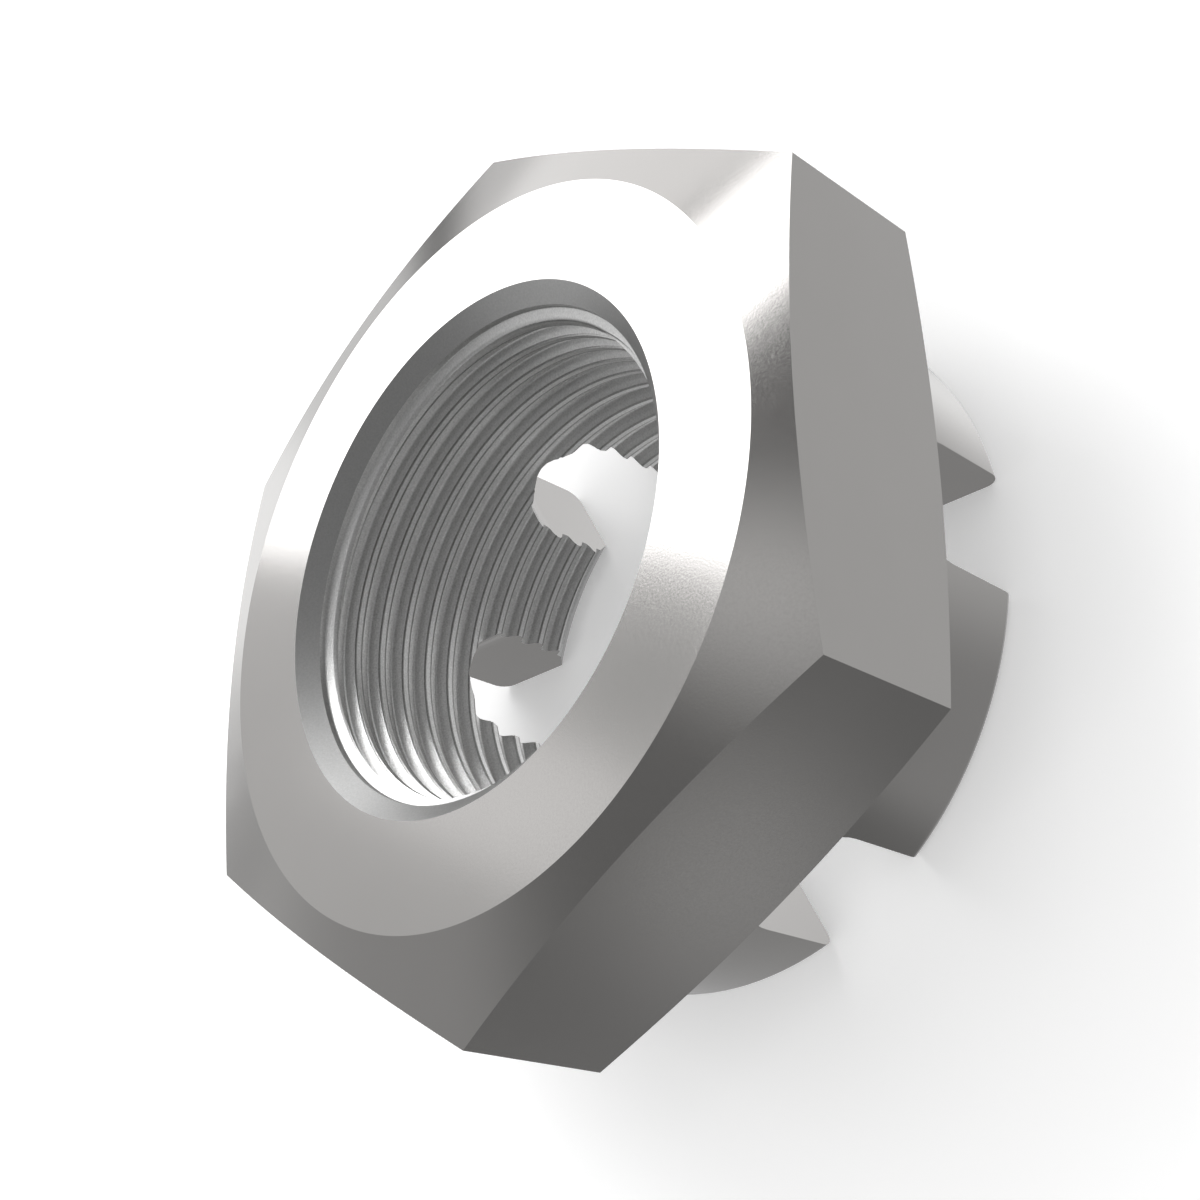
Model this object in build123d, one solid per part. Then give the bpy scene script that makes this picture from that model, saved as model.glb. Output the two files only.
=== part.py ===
from build123d import *
from math import ceil, cos, radians, tan
import os

os.makedirs("parts", exist_ok=True)

# One-piece threaded castle nut, standing on its crown with the bearing face up.
# The axis is Z, the crown's end face is on z = 0 and two hex corners lie on X. All sizes in mm.

across_flats = 46.0
flat_count = 6
total_height = 21.0
hex_height = 12.1
face_setback = 2.0  # how far the round bearing face and the crown lie inside the flats
corner_chamfer_angle = 15.65  # cone on both ends of the hex, measured from the face
crown_edge_radius = 1.0

slot_count = 6  # the first one is below the flat beside +X
slot_width = 7.0
slot_floor_height = 9.0  # top of the full-round slot floor above the crown's end

thread_crest_diameter = 27.0
thread_pitch = 1.75
thread_depth = 0.4 * thread_pitch
crest_width = 0.25 * thread_pitch
thread_flank_angle = 30.0  # each flank, measured from the radial direction
thread_start_height = 0.48  # centre of the groove at +X, where its first turn begins
countersink_depth = 1.675  # along the axis, down to the thread's crests
countersink_angle = 45.0

past = 1.0  # how far each cutter runs past the surface that it opens
groove_past = thread_pitch / 7  # the same for the thread's groove, less than its ridges' width

corner_radius = across_flats / 2 / cos(radians(180 / flat_count))
face_radius = across_flats / 2 - face_setback
hex_base = total_height - hex_height
chamfer_reach = corner_radius + past
chamfer_drop = (chamfer_reach - face_radius) * tan(radians(corner_chamfer_angle))

crest_radius = thread_crest_diameter / 2
root_radius = crest_radius + thread_depth
thread_turns = ceil((total_height - thread_start_height) / thread_pitch)
countersink_radius = crest_radius + countersink_depth * tan(radians(countersink_angle))


def nut_blank():
    """Turned outline of the hex with its corner cones and the crown, cut to its flats."""
    with BuildPart() as blank:
        with BuildSketch(Plane.XZ):
            with BuildLine():
                Polyline((0, total_height), (0, 0), (face_radius - crown_edge_radius, 0))
                RadiusArc(
                    (face_radius - crown_edge_radius, 0),
                    (face_radius, crown_edge_radius),
                    -crown_edge_radius,
                )
                Polyline(
                    (face_radius, crown_edge_radius),
                    (face_radius, hex_base),
                    (chamfer_reach, hex_base + chamfer_drop),
                    (chamfer_reach, total_height - chamfer_drop),
                    (face_radius, total_height),
                    (0, total_height),
                )
            make_face()
        revolve(axis=Axis.Z)
        with BuildSketch(Plane.XY):
            RegularPolygon(corner_radius, flat_count)
        extrude(amount=total_height, mode=Mode.INTERSECT)
    return blank.part


def bore_cutter():
    """Drilled hole at the thread's crests with a countersink at each end."""
    with BuildPart() as bore:
        with BuildSketch(Plane.XZ):
            Polygon(
                (0, 0),
                (countersink_radius, 0),
                (crest_radius, countersink_depth),
                (crest_radius, total_height - countersink_depth),
                (countersink_radius, total_height),
                (0, total_height),
                align=None,
            )
        revolve(axis=Axis.Z)
    return bore.part


def groove_turn():
    """One turn of the right-hand helical groove, which leaves the thread's ridge beside it."""
    spread = tan(radians(thread_flank_angle))
    crest_half = (thread_pitch - crest_width) / 2
    root_half = crest_half - thread_depth * spread
    inner_radius = crest_radius - groove_past
    inner_half = crest_half + groove_past * spread
    with BuildPart() as groove:
        with BuildLine():
            Helix(thread_pitch, thread_pitch, root_radius)
        with BuildSketch(Plane.XZ):
            Polygon(
                (root_radius, -root_half),
                (root_radius, root_half),
                (inner_radius, inner_half),
                (inner_radius, -inner_half),
                align=None,
            )
        sweep(is_frenet=True)
    return groove.part


def slot_cutter():
    """One slot with a round floor, cut from the bore outward along +X."""
    half = slot_width / 2
    with BuildPart() as slot:
        with BuildSketch(Plane.YZ):
            with Locations((0, slot_floor_height - half)):
                Circle(half)
            with Locations((0, -past)):
                Rectangle(slot_width, slot_floor_height - half + past, align=(Align.CENTER, Align.MIN))
        extrude(amount=corner_radius + past)
    return slot.part


nut = nut_blank() - bore_cutter()
turn = groove_turn()
for index in range(thread_turns):
    nut -= Pos(0, 0, thread_start_height + index * thread_pitch) * turn
slot = slot_cutter()
for index in range(slot_count):
    nut -= Rot(0, 0, 180 / flat_count + index * 360 / slot_count) * slot

export_step(nut, "parts/nut.step")
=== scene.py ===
from math import cos, hypot, pi, radians, sin, tan

import bmesh
import bpy
from mathutils import Matrix, Vector


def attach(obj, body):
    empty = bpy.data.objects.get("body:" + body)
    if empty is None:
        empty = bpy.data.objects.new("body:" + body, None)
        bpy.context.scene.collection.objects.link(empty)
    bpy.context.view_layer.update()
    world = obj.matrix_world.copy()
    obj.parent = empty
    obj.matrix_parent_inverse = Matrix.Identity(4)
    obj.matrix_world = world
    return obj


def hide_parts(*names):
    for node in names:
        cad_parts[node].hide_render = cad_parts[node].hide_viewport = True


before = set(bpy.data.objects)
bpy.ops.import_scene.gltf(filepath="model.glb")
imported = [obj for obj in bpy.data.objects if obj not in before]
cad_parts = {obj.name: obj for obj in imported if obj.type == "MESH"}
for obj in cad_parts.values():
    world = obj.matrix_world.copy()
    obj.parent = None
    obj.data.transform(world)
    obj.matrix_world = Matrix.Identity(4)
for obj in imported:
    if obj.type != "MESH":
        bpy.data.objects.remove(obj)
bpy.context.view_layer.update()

scene = bpy.context.scene

# Castle nut, its blank
# A slice of hexagon steel bar, faced and chamfered at both ends of the hex, with the round crown
# turned below it. It is drilled to the thread's crest size and countersunk at both ends, with a
# narrow relief below the countersink and the thread's first ridge as a full ring below that.

mm = 0.001
across_flats = 46.0 * mm
flat_turn = 2 * pi / 6
total_height = 21.0 * mm
hex_base = 8.9 * mm
face_radius = 21.0 * mm
corner_chamfer = radians(15.65)
crown_edge_radius = 1.0 * mm
crest_radius = 13.5 * mm
countersink_depth = 1.675 * mm
mouth_radius = crest_radius + countersink_depth
relief_radius = 14.15 * mm
relief_rounding = 0.12 * mm
first_ridge_depth = 1.72 * mm
first_ridge_slope = radians(25)
ridge_rounding = 0.32 * mm
degrees_round = 360
crown_edge_steps = 6
relief_steps = 3
ridge_steps = 5


def rounded_corner(corner, before, after, radius, steps):
    """Points of the arc that rounds a corner of an outline between its two neighbours."""
    to_before, to_after = (before - corner).normalized(), (after - corner).normalized()
    half = to_before.angle(to_after) / 2
    reach = radius / tan(half)
    middle = corner + (to_before + to_after).normalized() * (radius / sin(half))
    start, end = corner + to_before * reach - middle, corner + to_after * reach - middle
    sweep = start.angle(end)
    points = []
    for step in range(steps + 1):
        share = step / steps
        mixed = start * (sin((1 - share) * sweep) / sin(sweep)) + end * (sin(share * sweep) / sin(sweep))
        points.append(middle + mixed)
    return points


def relief_section():
    """Outline from the countersink's cone over the relief to the first ridge, as radius and depth."""
    cone_end = Vector((relief_radius, mouth_radius - relief_radius))
    ledge_rise = (relief_radius - crest_radius) * tan(first_ridge_slope)
    corner = Vector((relief_radius, first_ridge_depth - ledge_rise))
    ridge = Vector((crest_radius, first_ridge_depth))
    below = Vector((crest_radius, total_height / 2))
    outline = [cone_end]
    outline += rounded_corner(corner, cone_end, ridge, relief_rounding, relief_steps)
    outline += rounded_corner(ridge, corner, below, ridge_rounding, ridge_steps)
    return [(p.x, p.y) for p in outline]


def blank_section(angle):
    """Closed outline of the blank, as radius and height, at one angle around its axis."""
    from_flat = angle % flat_turn - flat_turn / 2
    reach = across_flats / 2 / cos(from_flat)
    drop = (reach - face_radius) * tan(corner_chamfer)
    outline = [
        (mouth_radius, total_height),
        (face_radius, total_height),
        (reach, total_height - drop),
        (reach, hex_base + drop),
        (face_radius, hex_base),
    ]
    centre = face_radius - crown_edge_radius
    for step in range(crown_edge_steps + 1):
        turn = pi / 2 * step / crown_edge_steps
        outline.append((centre + crown_edge_radius * cos(turn), crown_edge_radius * (1 - sin(turn))))
    relief = relief_section()
    outline += [(mouth_radius, 0.0), *relief]
    return outline + [(r, total_height - depth) for r, depth in reversed(relief)]


def join_rings(mesh, ring, after):
    """Makes the faces between two closed rings with the same number of corners."""
    for i in range(len(ring)):
        j = (i + 1) % len(ring)
        mesh.faces.new((ring[i], ring[j], after[j], after[i]))


def closed_mesh(name, mesh):
    """Turns the faces of a closed mesh outward and keeps it under that name."""
    bmesh.ops.recalc_face_normals(mesh, faces=mesh.faces)
    data = bpy.data.meshes.new(name)
    mesh.to_mesh(data)
    mesh.free()
    return data


def turned_blank():
    """The blank as a closed mesh, one ring of its section for each degree."""
    mesh = bmesh.new()
    rings = []
    for step in range(degrees_round):
        angle = 2 * pi * step / degrees_round
        rings.append([mesh.verts.new((r * cos(angle), r * sin(angle), z)) for r, z in blank_section(angle)])
    for step, ring in enumerate(rings):
        join_rings(mesh, ring, rings[(step + 1) % degrees_round])
    return closed_mesh("blank", mesh)


def placed(name, data):
    """A new object of that mesh in the scene."""
    piece = bpy.data.objects.new(name, data)
    scene.collection.objects.link(piece)
    return piece


nut = placed("castle_nut", turned_blank())

# Castle nut, its thread
# A tap cuts one helical groove with 30 degree flanks, and the ridge that is left between its turns
# is the thread. The root is rounded, each crest has a fine scored line along both of its edges, and
# the groove fades out in the upper relief.

thread_pitch = 1.75 * mm
thread_depth = 0.7 * mm
thread_start_height = 0.48 * mm
flank_angle = radians(30)
crest_width = 0.25 * thread_pitch
root_radius = crest_radius + thread_depth
root_rounding = 0.2 * mm
root_steps = 5
score_width = 0.055 * mm
score_depth = 0.16 * mm
score_overrun = 0.01 * mm
tap_overrun = 0.25 * mm
tooth_gap = 0.04 * mm
turns_before_face = 1
groove_turns = 11.93
run_out_turns = 0.15
run_out_retreat = 0.95 * mm
steps_per_turn = 160


def groove_outline():
    """Outline of the tap's tooth: X outward from the root circle, Y along the nut's axis."""
    crest_half = (thread_pitch - crest_width) / 2
    root_half = crest_half - thread_depth * tan(flank_angle)
    crest_corner = Vector((-thread_depth, crest_half))
    root_corner = Vector((0.0, root_half))
    root_middle = Vector((0.0, 0.0))
    side = [Vector((-thread_depth - tap_overrun, thread_pitch / 2 - tooth_gap))]
    side.append(Vector((-thread_depth - score_overrun, crest_half + score_width)))
    side.append(Vector((-thread_depth + score_depth, crest_half)))
    side.append(Vector((-thread_depth + score_depth / 2, crest_half - score_width)))
    side += rounded_corner(root_corner, crest_corner, root_middle, root_rounding, root_steps)
    return side + [Vector((p.x, -p.y)) for p in reversed(side)]


def tooth_mesh():
    """The tooth's outline as a loop of edges, which the sweep follows."""
    points = [(p.x, p.y, 0.0) for p in groove_outline()]
    edges = [(i, (i + 1) % len(points)) for i in range(len(points))]
    data = bpy.data.meshes.new("tap_tooth")
    data.from_pydata(points, edges, [])
    return data


def add_node(tree, kind, links=(), **values):
    """A node of that kind, with its inputs set by name or linked from other nodes' outputs."""
    node = tree.nodes.new(kind)
    for name, value in values.items():
        if hasattr(node, name):
            setattr(node, name, value)
        else:
            node.inputs[name.replace("_", " ")].default_value = value
    for name, output in dict(links).items():
        tree.links.new(output, node.inputs[name])
    return node


def math_node(tree, operation, *values):
    """The result of a Math node on values that are numbers or other nodes' outputs."""
    node = tree.nodes.new("ShaderNodeMath")
    node.operation = operation
    for socket, value in zip(node.inputs, values):
        if isinstance(value, (int, float)):
            socket.default_value = value
        else:
            tree.links.new(value, socket)
    return node.outputs[0]


def new_tree(name, sizes):
    """A Geometry Nodes tree with a mesh in, a mesh out and one named input for each size."""
    tree = bpy.data.node_groups.new(name, "GeometryNodeTree")
    tree.interface.new_socket("Geometry", in_out="INPUT", socket_type="NodeSocketGeometry")
    tree.interface.new_socket("Geometry", in_out="OUTPUT", socket_type="NodeSocketGeometry")
    for label, value in sizes.items():
        kind = {int: "NodeSocketInt", float: "NodeSocketFloat"}.get(type(value), "NodeSocketMaterial")
        tree.interface.new_socket(label, in_out="INPUT", socket_type=kind)
    return tree, tree.nodes.new("NodeGroupInput").outputs, tree.nodes.new("NodeGroupOutput").inputs


def end_tree(tree, geometry, given, made):
    """Makes the tree's instances real, sets their material and hands the mesh out."""
    single = add_node(tree, "GeometryNodeRealizeInstances", {"Geometry": geometry})
    coated = add_node(
        tree,
        "GeometryNodeSetMaterial",
        {"Geometry": single.outputs["Geometry"], "Material": given["Material"]},
    )
    tree.links.new(coated.outputs["Geometry"], made["Geometry"])


def plain_mesh(piece):
    """The piece's mesh with its modifiers carried out, and the modifiers taken off."""
    bpy.context.view_layer.update()
    evaluated = piece.evaluated_get(bpy.context.evaluated_depsgraph_get())
    data = bpy.data.meshes.new_from_object(evaluated)
    piece.modifiers.clear()
    return data


def run_tree(piece, tree, sizes):
    """Sets the tree's inputs on the piece, runs it and returns the plain mesh it makes."""
    modifier = piece.modifiers.new(tree.name, "NODES")
    modifier.node_group = tree
    for item in tree.interface.items_tree:
        if item.in_out == "INPUT" and item.name in sizes:
            modifier[item.identifier] = sizes[item.name]
    return plain_mesh(piece)


steel = bpy.data.materials.new("satin_steel")

groove_sizes = {
    "Pitch": thread_pitch,
    "Root Radius": root_radius,
    "Turns": groove_turns,
    "Start Height": thread_start_height - turns_before_face * thread_pitch,
    "Run-out Turns": run_out_turns,
    "Run-out Retreat": run_out_retreat,
    "Steps per Turn": steps_per_turn,
    "Material": steel,
}
groove_tree, given, made = new_tree("helical_groove", groove_sizes)
helix = add_node(
    groove_tree,
    "GeometryNodeCurveSpiral",
    {
        "Resolution": given["Steps per Turn"],
        "Rotations": given["Turns"],
        "Start Radius": given["Root Radius"],
        "End Radius": given["Root Radius"],
        "Height": math_node(groove_tree, "MULTIPLY", given["Pitch"], given["Turns"]),
    },
    Reverse=True,
)
along = add_node(groove_tree, "GeometryNodeSplineParameter")
retreat = add_node(
    groove_tree,
    "ShaderNodeMapRange",
    {
        "Value": math_node(groove_tree, "MULTIPLY", along.outputs["Factor"], given["Turns"]),
        "From Min": math_node(groove_tree, "SUBTRACT", given["Turns"], given["Run-out Turns"]),
        "From Max": given["Turns"],
        "To Max": given["Run-out Retreat"],
    },
)
place = add_node(groove_tree, "GeometryNodeInputPosition")
level = add_node(groove_tree, "ShaderNodeVectorMath", {0: place.outputs[0]}, operation="MULTIPLY")
level.inputs[1].default_value = (-1.0, -1.0, 0.0)
inward = add_node(groove_tree, "ShaderNodeVectorMath", {0: level.outputs[0]}, operation="NORMALIZE")
step_in = add_node(
    groove_tree,
    "ShaderNodeVectorMath",
    {0: inward.outputs[0], "Scale": retreat.outputs["Result"]},
    operation="SCALE",
)
fading = add_node(
    groove_tree,
    "GeometryNodeSetPosition",
    {"Geometry": helix.outputs["Curve"], "Offset": step_in.outputs[0]},
)
upright = add_node(
    groove_tree,
    "GeometryNodeSetCurveNormal",
    {"Curve": fading.outputs["Geometry"]},
    mode="Z_UP",
)
tooth_curve = add_node(groove_tree, "GeometryNodeMeshToCurve", {"Mesh": given["Geometry"]})
swept = add_node(
    groove_tree,
    "GeometryNodeCurveToMesh",
    {"Curve": upright.outputs["Curve"], "Profile Curve": tooth_curve.outputs["Curve"]},
    Fill_Caps=True,
)
outward = add_node(groove_tree, "GeometryNodeFlipFaces", {"Mesh": swept.outputs["Mesh"]})
lift = add_node(groove_tree, "ShaderNodeCombineXYZ", {"Z": given["Start Height"]})
raised = add_node(
    groove_tree,
    "GeometryNodeTransform",
    {"Geometry": outward.outputs["Mesh"], "Translation": lift.outputs[0]},
)
end_tree(groove_tree, raised.outputs["Geometry"], given, made)

tap = placed("tap", tooth_mesh())
tap.data = run_tree(tap, groove_tree, groove_sizes)

# Castle nut, the slots of its crown
# Six slots with a full-round floor, milled from the crown's end below the middle of each flat. A
# cotter pin through the bolt lies in two of them, so that the nut can't turn.

slot_count = 6
slot_width = 7.0 * mm
slot_top = 9.0 * mm
slot_bottom = -4.6 * mm
cutter_start = 8.5 * mm
cutter_end = 30.0 * mm
slot_floor_steps = 20


def slot_cutter():
    """A bar with rounded top and bottom along +X, from inside the bore to outside the crown."""
    half = slot_width / 2
    outline = []
    for side, height in ((1, slot_top - half), (-1, slot_bottom + half)):
        for step in range(slot_floor_steps + 1):
            turn = pi * step / slot_floor_steps
            outline.append((half * cos(turn) * side, height + half * sin(turn) * side))
    mesh = bmesh.new()
    ends = [[mesh.verts.new((x, y, z)) for y, z in outline] for x in (cutter_start, cutter_end)]
    for end in ends:
        mesh.faces.new(end)
    join_rings(mesh, *ends)
    return closed_mesh("slot_cutter", mesh)


slot_sizes = {"Slots": slot_count, "First Angle": flat_turn / 2, "Material": steel}
slot_tree, given, made = new_tree("slots_round_crown", slot_sizes)
seats = add_node(slot_tree, "GeometryNodePoints", {"Count": given["Slots"]})
number = add_node(slot_tree, "GeometryNodeInputIndex")
spacing = math_node(slot_tree, "DIVIDE", 2 * pi, given["Slots"])
angle = math_node(slot_tree, "MULTIPLY_ADD", number.outputs[0], spacing, given["First Angle"])
turned = add_node(slot_tree, "ShaderNodeCombineXYZ", {"Z": angle})
ring = add_node(
    slot_tree,
    "GeometryNodeInstanceOnPoints",
    {"Points": seats.outputs[0], "Instance": given["Geometry"], "Rotation": turned.outputs[0]},
)
end_tree(slot_tree, ring.outputs["Instances"], given, made)

milling = placed("milling", slot_cutter())
milling.data = run_tree(milling, slot_tree, slot_sizes)

# Castle nut, cut and finished
# The thread is tapped and the slots are milled out of the blank. All edges outside the bore are
# lightly broken, as tumbling leaves them; the thread's own edges stay as the tap left them. The
# turned and milled faces are satin, and those of the bore are brighter, rougher and speckled. The
# thread's colour is painted much lighter still, to lift the shade deep in the bore.

edge_break = 0.07 * mm
bore_region = 14.9 * mm
sharp_outside = radians(14)
sharp_in_bore = radians(24)
merge_distance = 0.0005 * mm
root_margin = 0.02 * mm
mouth_margin = 0.01 * mm
relief_start = 1.0 * mm
relief_end = 1.9 * mm
turned_finish, tapped_finish, countersunk_finish, relief_finish = range(4)

for cutter in (tap, milling):
    cut = nut.modifiers.new(cutter.name, "BOOLEAN")
    cut.operation = "DIFFERENCE"
    cut.object = cutter
    cut.solver = "MANIFOLD"
nut.data = plain_mesh(nut)
for cutter in (tap, milling):
    bpy.data.objects.remove(cutter)


def finish_of(face):
    """Which finish a face has, by how far out and how deep below the nearer end it lies."""
    reach = max(v.co.xy.length for v in face.verts)
    depths = [min(v.co.z, total_height - v.co.z) for v in face.verts]
    if reach < root_radius + root_margin and min(depths) > relief_start:
        return relief_finish if max(depths) < relief_end else tapped_finish
    return countersunk_finish if reach < mouth_radius + mouth_margin else turned_finish


def mark_edges(data):
    """Marks each sharp edge, and gives those outside the bore the weight that breaks them."""
    mesh = bmesh.new()
    mesh.from_mesh(data)
    bmesh.ops.remove_doubles(mesh, verts=mesh.verts, dist=merge_distance)
    bmesh.ops.dissolve_degenerate(mesh, edges=mesh.edges, dist=merge_distance)
    weight = mesh.edges.layers.float.new("bevel_weight_edge")
    for edge in mesh.edges:
        inside = all(v.co.xy.length < bore_region for v in edge.verts)
        limit = sharp_in_bore if inside else sharp_outside
        sharp = edge.is_manifold and edge.calc_face_angle() > limit
        edge.smooth = not sharp
        edge[weight] = 1.0 if sharp and not inside else 0.0
    for face in mesh.faces:
        face.smooth = True
        face.material_index = finish_of(face)
    mesh.to_mesh(data)
    mesh.free()


lightened_thread_steel = bpy.data.materials.new("lightened_thread_steel")
countersunk_steel = bpy.data.materials.new("countersunk_steel")
relief_steel = bpy.data.materials.new("relief_steel")
nut.data.materials.clear()
for metal in (steel, lightened_thread_steel, countersunk_steel, relief_steel):
    nut.data.materials.append(metal)
mark_edges(nut.data)
broken = nut.modifiers.new("edge_break", "BEVEL")
broken.limit_method = "WEIGHT"
broken.width = edge_break
broken.segments = 2
broken.harden_normals = True
broken.miter_outer = "MITER_SHARP"
nut.data = plain_mesh(nut)
nut.data.name = "castle_nut"

grain_per_metre = 8000.0
cloud_per_metre = 260.0
speckle_per_metre = 9000.0
mix_a, mix_b, mix_result = 6, 7, 2  # the colour sockets of a Mix node, whose names aren't unique


def satin_finish(metal, colours, spots_per_metre, roughness, dimple_depth):
    """Steel with a fine even grain, and spots of that many per metre between the two colours."""
    metal.use_nodes = True
    shade = metal.node_tree
    shader = shade.nodes["Principled BSDF"]
    shader.inputs["Metallic"].default_value = 1.0
    place = add_node(shade, "ShaderNodeTexCoord").outputs["Object"]
    grain = add_node(shade, "ShaderNodeTexNoise", {"Vector": place}, Scale=grain_per_metre, Detail=2.0)
    spots = add_node(shade, "ShaderNodeTexNoise", {"Vector": place}, Scale=spots_per_metre, Detail=3.0)
    tint = add_node(shade, "ShaderNodeMix", {"Factor": spots.outputs["Fac"]}, data_type="RGBA")
    tint.inputs[mix_a].default_value = (*colours[0], 1)
    tint.inputs[mix_b].default_value = (*colours[1], 1)
    shade.links.new(tint.outputs[mix_result], shader.inputs["Base Color"])
    matt = add_node(
        shade,
        "ShaderNodeMapRange",
        {"Value": grain.outputs["Fac"]},
        From_Min=0.3,
        From_Max=0.7,
        To_Min=roughness[0],
        To_Max=roughness[1],
    )
    shade.links.new(matt.outputs["Result"], shader.inputs["Roughness"])
    dimples = add_node(
        shade,
        "ShaderNodeBump",
        {"Height": grain.outputs["Fac"]},
        Strength=1.0,
        Distance=dimple_depth,
    )
    shade.links.new(dimples.outputs["Normal"], shader.inputs["Normal"])


satin_finish(
    steel,
    colours=((0.338, 0.330, 0.322), (0.352, 0.344, 0.336)),
    spots_per_metre=cloud_per_metre,
    roughness=(0.12, 0.17),
    dimple_depth=0.001 * mm,
)
# The thread's steel is painted far lighter than the rest, as painted light against the bore's shade.
satin_finish(
    lightened_thread_steel,
    colours=((0.56, 0.56, 0.556), (1.0, 1.0, 0.993)),
    spots_per_metre=speckle_per_metre,
    roughness=(0.33, 0.46),
    dimple_depth=0.014 * mm,
)
satin_finish(
    countersunk_steel,
    colours=((0.37, 0.37, 0.368), (0.52, 0.52, 0.517)),
    spots_per_metre=speckle_per_metre,
    roughness=(0.34, 0.44),
    dimple_depth=0.005 * mm,
)
satin_finish(
    relief_steel,
    colours=((0.46, 0.46, 0.457), (0.82, 0.82, 0.815)),
    spots_per_metre=speckle_per_metre,
    roughness=(0.28, 0.39),
    dimple_depth=0.008 * mm,
)

# Shade is painted along the thread, in dark lines at both edges of each crest and in darker bands
# on its flanks and crest. Each band has its start and end as shares of the pitch, from the middle of
# one groove up to the next, and the share of light that it keeps.
thread_shade_bands = (
    (0.0, 0.12, 1.0),  # root
    (0.17, 0.35, 0.8),  # flank that faces down
    (0.375, 0.415, 0.46),  # line at the crest's lower edge
    (0.45, 0.6, 0.86),  # crest
    (0.62, 0.64, 0.74),  # line at the crest's upper edge
    (0.66, 0.73, 1.0),  # flank that faces up
    (0.76, 0.82, 0.9),  # soft band on that flank
    (0.87, 1.0, 1.0),  # root of the next turn
)
thread_shade_top = 18.95 * mm
thread_shade_fade = 0.1 * mm


def painted_thread_shade(metal):
    """Paints shade on the steel along the thread by its bands, below the first ridge."""
    shade = metal.node_tree
    shader = shade.nodes["Principled BSDF"]
    bare = shader.inputs["Base Color"].links[0].from_socket
    place = add_node(shade, "ShaderNodeTexCoord").outputs["Object"]
    parts = add_node(shade, "ShaderNodeSeparateXYZ", {"Vector": place}).outputs
    turn = math_node(shade, "ARCTAN2", parts["Y"], parts["X"])
    climb = math_node(shade, "MULTIPLY_ADD", turn, -thread_pitch / (2 * pi), -thread_start_height)
    height = math_node(shade, "ADD", parts["Z"], climb)
    across = math_node(shade, "FRACT", math_node(shade, "DIVIDE", height, thread_pitch))
    bands = add_node(shade, "ShaderNodeValToRGB", {"Fac": across})
    ramp = bands.color_ramp
    stops = [(position, tone) for start, end, tone in thread_shade_bands for position in (start, end)]
    while len(ramp.elements) < len(stops):
        ramp.elements.new(1.0)
    for element, (position, tone) in zip(ramp.elements, stops):
        element.position = position
        element.color = (tone, tone, tone, 1)
    within = add_node(
        shade,
        "ShaderNodeMapRange",
        {"Value": parts["Z"]},
        From_Min=thread_shade_top,
        From_Max=thread_shade_top - thread_shade_fade,
    )
    dark = add_node(
        shade,
        "ShaderNodeMix",
        {"Factor": within.outputs["Result"], mix_b: bands.outputs["Color"]},
        data_type="RGBA",
    )
    dark.inputs[mix_a].default_value = (1, 1, 1, 1)
    toned = add_node(
        shade,
        "ShaderNodeMix",
        {mix_a: bare, mix_b: dark.outputs[mix_result]},
        data_type="RGBA",
        blend_type="MULTIPLY",
        Factor=1.0,
    )
    shade.links.new(toned.outputs[mix_result], shader.inputs["Base Color"])


# Painted shade along the thread, in lines and bands.
painted_thread_shade(lightened_thread_steel)

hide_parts("nut")
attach(nut, "root")

# Floor
# A plain white studio table. It shows white to the camera and keeps the nut's shadow. Reflections
# don't see it: the steel mirrors the white surround and glowing sheets in its place, one of which
# has the floor's light and the nut's shadow painted on it.

floor_half = 2.5
floor_height = -0.02 * mm
floor_colour = (0.9, 0.9, 0.9, 1)
floor_roughness = 0.9
floor_specular = 0.2
floor_lift = 0.28
corner_signs = ((-1, -1), (1, -1), (1, 1), (-1, 1))
corners = [(x * floor_half, y * floor_half, floor_height) for x, y in corner_signs]
table_data = bpy.data.meshes.new("floor")
table_data.from_pydata(corners, [], [(0, 1, 2, 3)])
table = placed("floor", table_data)
white = bpy.data.materials.new("white_table")
white.use_nodes = True
shade = white.node_tree
shader = shade.nodes["Principled BSDF"]
shader.inputs["Base Color"].default_value = floor_colour
shader.inputs["Roughness"].default_value = floor_roughness
shader.inputs["Specular IOR Level"].default_value = floor_specular


def seen_directly(tree):
    """1 for rays of the camera, of reflections and of transmission, 0 for the rays that light things."""
    path = tree.nodes.new("ShaderNodeLightPath").outputs
    first = math_node(tree, "MAXIMUM", path["Is Camera Ray"], path["Is Glossy Ray"])
    return math_node(tree, "MAXIMUM", first, path["Is Transmission Ray"])


lifted = math_node(shade, "MULTIPLY", seen_directly(shade), floor_lift)
shader.inputs["Emission Color"].default_value = (1, 1, 1, 1)
shade.links.new(lifted, shader.inputs["Emission Strength"])
table.data.materials.append(white)
# Reflections don't see the floor; a glowing sheet with painted floor light and shadow stands in for it.
table.visible_glossy = False

# Camera
# At the photograph's place and turn: above the bearing face, rolled on to its side.

camera_place = Vector((-40.9058, -63.0552, 70.4268)) * mm
picture_right = Vector((0.0, -0.689117, -0.724650))
picture_up = Vector((0.905045, -0.308226, 0.293071))
picture_back = picture_right.cross(picture_up)
focal_pixels = 1670.016
photo_pixels = 1200.0
view_data = bpy.data.cameras.new("photo_view")
view_data.sensor_width = 36.0
view_data.lens = focal_pixels * view_data.sensor_width / photo_pixels
view_data.clip_start = 0.005
view_data.clip_end = 20.0
camera = bpy.data.objects.new("photo_view", view_data)
scene.collection.objects.link(camera)
picture_turn = Matrix((picture_right, picture_up, picture_back)).transposed()
camera.matrix_world = Matrix.Translation(camera_place) @ picture_turn.to_4x4()
scene.camera = camera
scene.view_settings.view_transform = "Standard"

# Light
# A white surround with one large softbox at the left, four smaller ones beside and below it, and
# glowing grey and white sheets around, which only the steel's reflections see: they paint its
# reflections and so give it its tones.
# Directions are in degrees to the right from straight behind the nut, and then up, in the picture.

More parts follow.
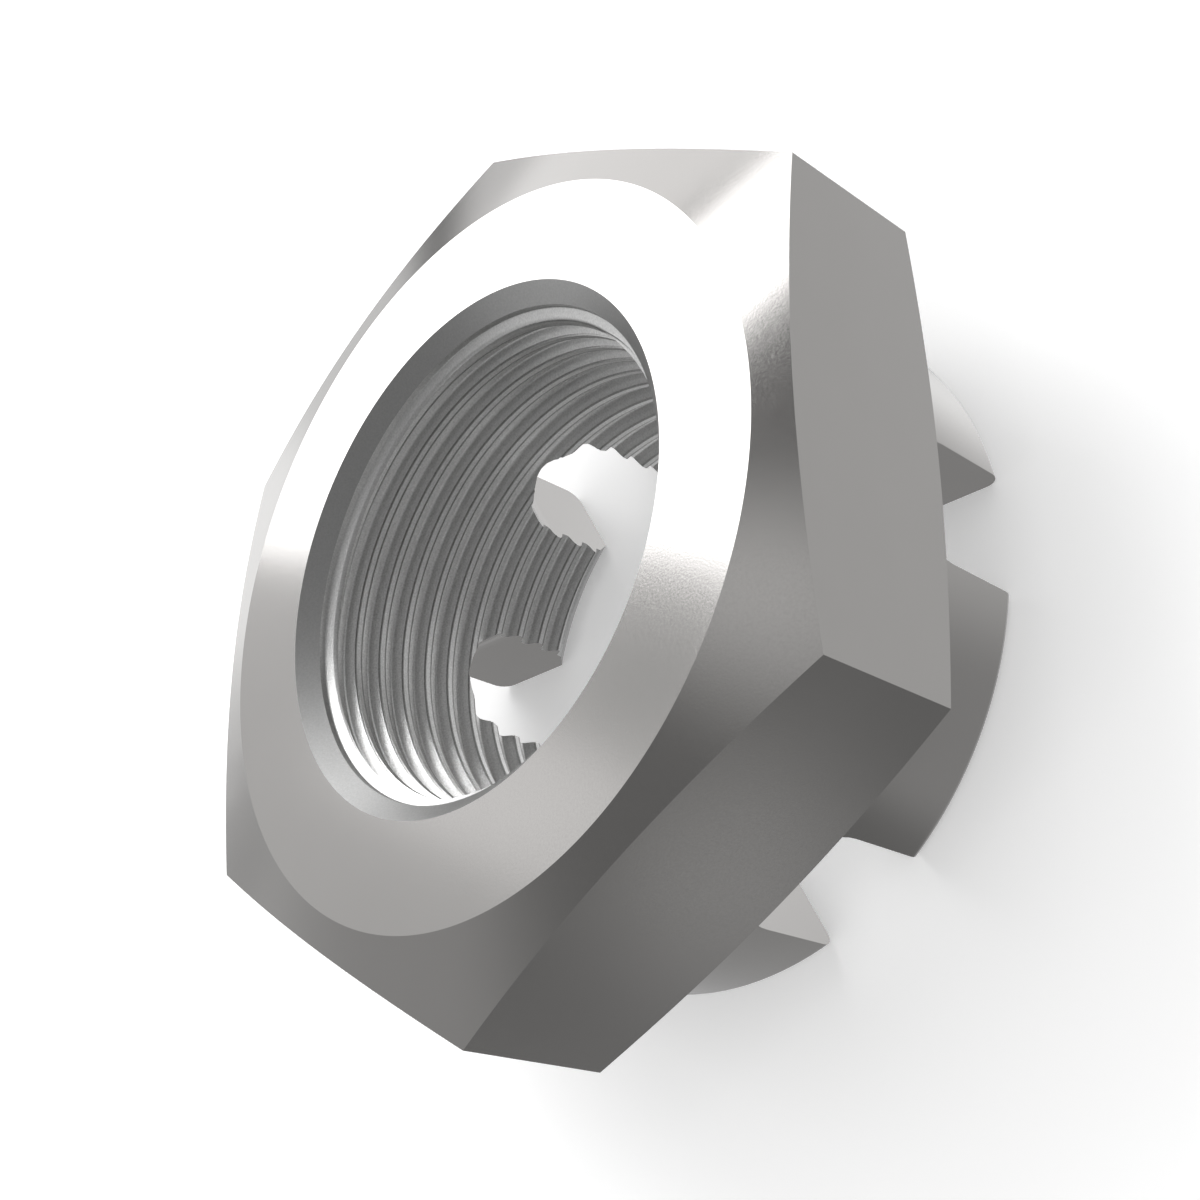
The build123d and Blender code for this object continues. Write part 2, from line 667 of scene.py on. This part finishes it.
surround_level = 0.85
surround_seen = 1.0
nut_middle = Vector((0, 0, 14 * mm))
lamp_distance = 0.5
sheet_distance = 0.8

world = bpy.data.worlds.new("surround")
scene.world = world
world.use_nodes = True
shade = world.node_tree
background = shade.nodes["Background"]
background.inputs["Color"].default_value = (1, 1, 1, 1)
strength = add_node(
    shade,
    "ShaderNodeMapRange",
    {"Value": seen_directly(shade)},
    To_Min=surround_level,
    To_Max=surround_seen,
)
shade.links.new(strength.outputs["Result"], background.inputs["Strength"])


def toward(right_angle, up_angle):
    """Unit vector of a direction from the nut."""
    turn, rise = radians(right_angle), radians(up_angle)
    level = picture_right * sin(turn) - picture_back * cos(turn)
    return level * cos(rise) + picture_up * sin(rise)


def softbox(name, right_angle, up_angle, spans, brightness, roll=0):
    """A rectangular softbox that faces the nut, spans those angles and is rolled, in degrees."""
    lamp = bpy.data.lights.new(name, "AREA")
    lamp.shape = "RECTANGLE"
    lamp.size, lamp.size_y = (2 * lamp_distance * tan(radians(span / 2)) for span in spans)
    lamp.energy = brightness * lamp.size * lamp.size_y * pi
    away = toward(right_angle, up_angle)
    side = picture_up.cross(away).normalized()
    turn = Matrix((side, away.cross(side), away)).transposed() @ Matrix.Rotation(radians(roll), 3, "Z")
    box = bpy.data.objects.new(name, lamp)
    scene.collection.objects.link(box)
    box.matrix_world = Matrix.Translation(nut_middle + away * lamp_distance) @ turn.to_4x4()


def eased(value, start, end):
    """0 before the start, 1 after the end and a soft rise between them."""
    share = min(max((value - start) / (end - start), 0.0), 1.0)
    return share * share * (3 - 2 * share)


def spot(right_angle, up_angle, middle, outer, inner=0, latitude=0):
    """1 within the inner distance from a middle and 0 beyond the outer one, with a soft fall."""
    sideways = (right_angle - middle[0]) * cos(radians(latitude))
    return eased(hypot(sideways, up_angle - middle[1]), outer, inner)


def glowing_sheet(name, right_angles, up_angles, tone, step=3):
    """Curved glowing sheet of painted reflection, seen only by reflections, between those angles, with
    its glow set every step.
    """
    across = round(abs(right_angles[1] - right_angles[0]) / step)
    upward = round(abs(up_angles[1] - up_angles[0]) / step)
    places, tones = [], []
    for i in range(across + 1):
        right_angle = right_angles[0] + (right_angles[1] - right_angles[0]) * i / across
        for j in range(upward + 1):
            up_angle = up_angles[0] + (up_angles[1] - up_angles[0]) * j / upward
            places.append(nut_middle + toward(right_angle, up_angle) * sheet_distance)
            tones.append(tone(right_angle, up_angle))
    row = upward + 1
    sheets = [
        (i * row + j, (i + 1) * row + j, (i + 1) * row + j + 1, i * row + j + 1)
        for i in range(across)
        for j in range(upward)
    ]
    data = bpy.data.meshes.new(name)
    data.from_pydata(places, [], sheets)
    greys = data.attributes.new("tone", "FLOAT", "POINT")
    greys.data.foreach_set("value", tones)
    grey = bpy.data.materials.new(name)
    grey.use_nodes = True
    toned = add_node(grey.node_tree, "ShaderNodeAttribute", attribute_name="tone")
    glow = add_node(grey.node_tree, "ShaderNodeEmission", {"Strength": toned.outputs["Fac"]})
    output = grey.node_tree.nodes["Material Output"]
    grey.node_tree.links.new(glow.outputs[0], output.inputs["Surface"])
    data.materials.append(grey)
    sheet = placed(name, data)
    sheet.visible_camera = False
    sheet.visible_diffuse = False
    sheet.visible_shadow = False


def front_tone(right_angle, up_angle):
    """Dark grey round the camera, with a soft light patch at its left and lighter at the top."""
    patch = spot(right_angle, up_angle, (-117, 26), 16, latitude=27)
    return 0.28 + 0.76 * patch + 0.3 * eased(up_angle, 50, 80)


def low_tone(right_angle, up_angle):
    """Dark grey at the left and below, with one darker patch, which rises to white upward."""
    level = 0.3 + 0.28 * eased(right_angle, -104, -88) + 0.2 * eased(right_angle, -75, -50)
    level -= 0.2 * spot(right_angle, up_angle, (-50, -5), 9, inner=3)
    return level + (1 - level) * eased(up_angle, -9, 7) * eased(right_angle, -100, -88)


def under_tone(right_angle, up_angle):
    """Painted reflection of the floor's light and the nut's shadow: light at the right of the nut, grey
    under it, and darker at the lower right but for a patch.
    """
    level = 0.52 + 0.36 * eased(up_angle, -10, 14)
    level += 0.5 * spot(right_angle, up_angle, (34, 27), 26)
    level -= 0.22 * eased(right_angle, 40, 56) * eased(up_angle, -32, -44)
    return level + 0.36 * spot(right_angle, up_angle, (68, -60), 8, latitude=60)


def gap_tone(right_angle, up_angle):
    """White, with a grey patch under the key softbox and a brighter one to the right of that."""
    grey = spot(right_angle, up_angle, (-80, 21), 6)
    glow = spot(right_angle, up_angle, (-63, 14.5), 5)
    return 1 - 0.36 * grey + 0.25 * glow


def rear_tone(right_angle, up_angle):
    """White with one soft dark band across it."""
    return 1 - 0.75 * eased(abs(up_angle - 30), 5, 0)


def left_tone(right_angle, up_angle):
    """A bright sheet that fades to the white of the surround."""
    return 1 + 0.45 * eased(abs(up_angle - 8), 9, 4) * eased(abs(right_angle + 35), 12, 6)


softbox("key_softbox", -76.4, 36.9, (42.5, 22.8), 3.6, roll=31)
softbox("edge_softbox", -84, 26.1, (13, 2.8), 2.6)
softbox("upper_softbox", -88.7, 55, (11.8, 12), 3.2)
softbox("rear_softbox", -53, 47, (22, 30), 0.8)
softbox("low_softbox", -77.5, 13, (12, 6), 0.6)
# Glowing sheets that paint the steel's reflections.
glowing_sheet("glowing_sheet_front", (-104, -270), (-60, 89), front_tone)
glowing_sheet("glowing_sheet_low", (-104, -45), (-60, 8), low_tone)
glowing_sheet("glowing_sheet_gap", (-96, -54), (8, 32), gap_tone, step=1)
glowing_sheet("glowing_sheet_rear", (-40, -24), (22, 38), rear_tone, step=1)
glowing_sheet("glowing_sheet_left", (-47, -20), (-8, 22), left_tone)
glowing_sheet("glowing_sheet_under", (-14, 100), (-89, 61), under_tone)
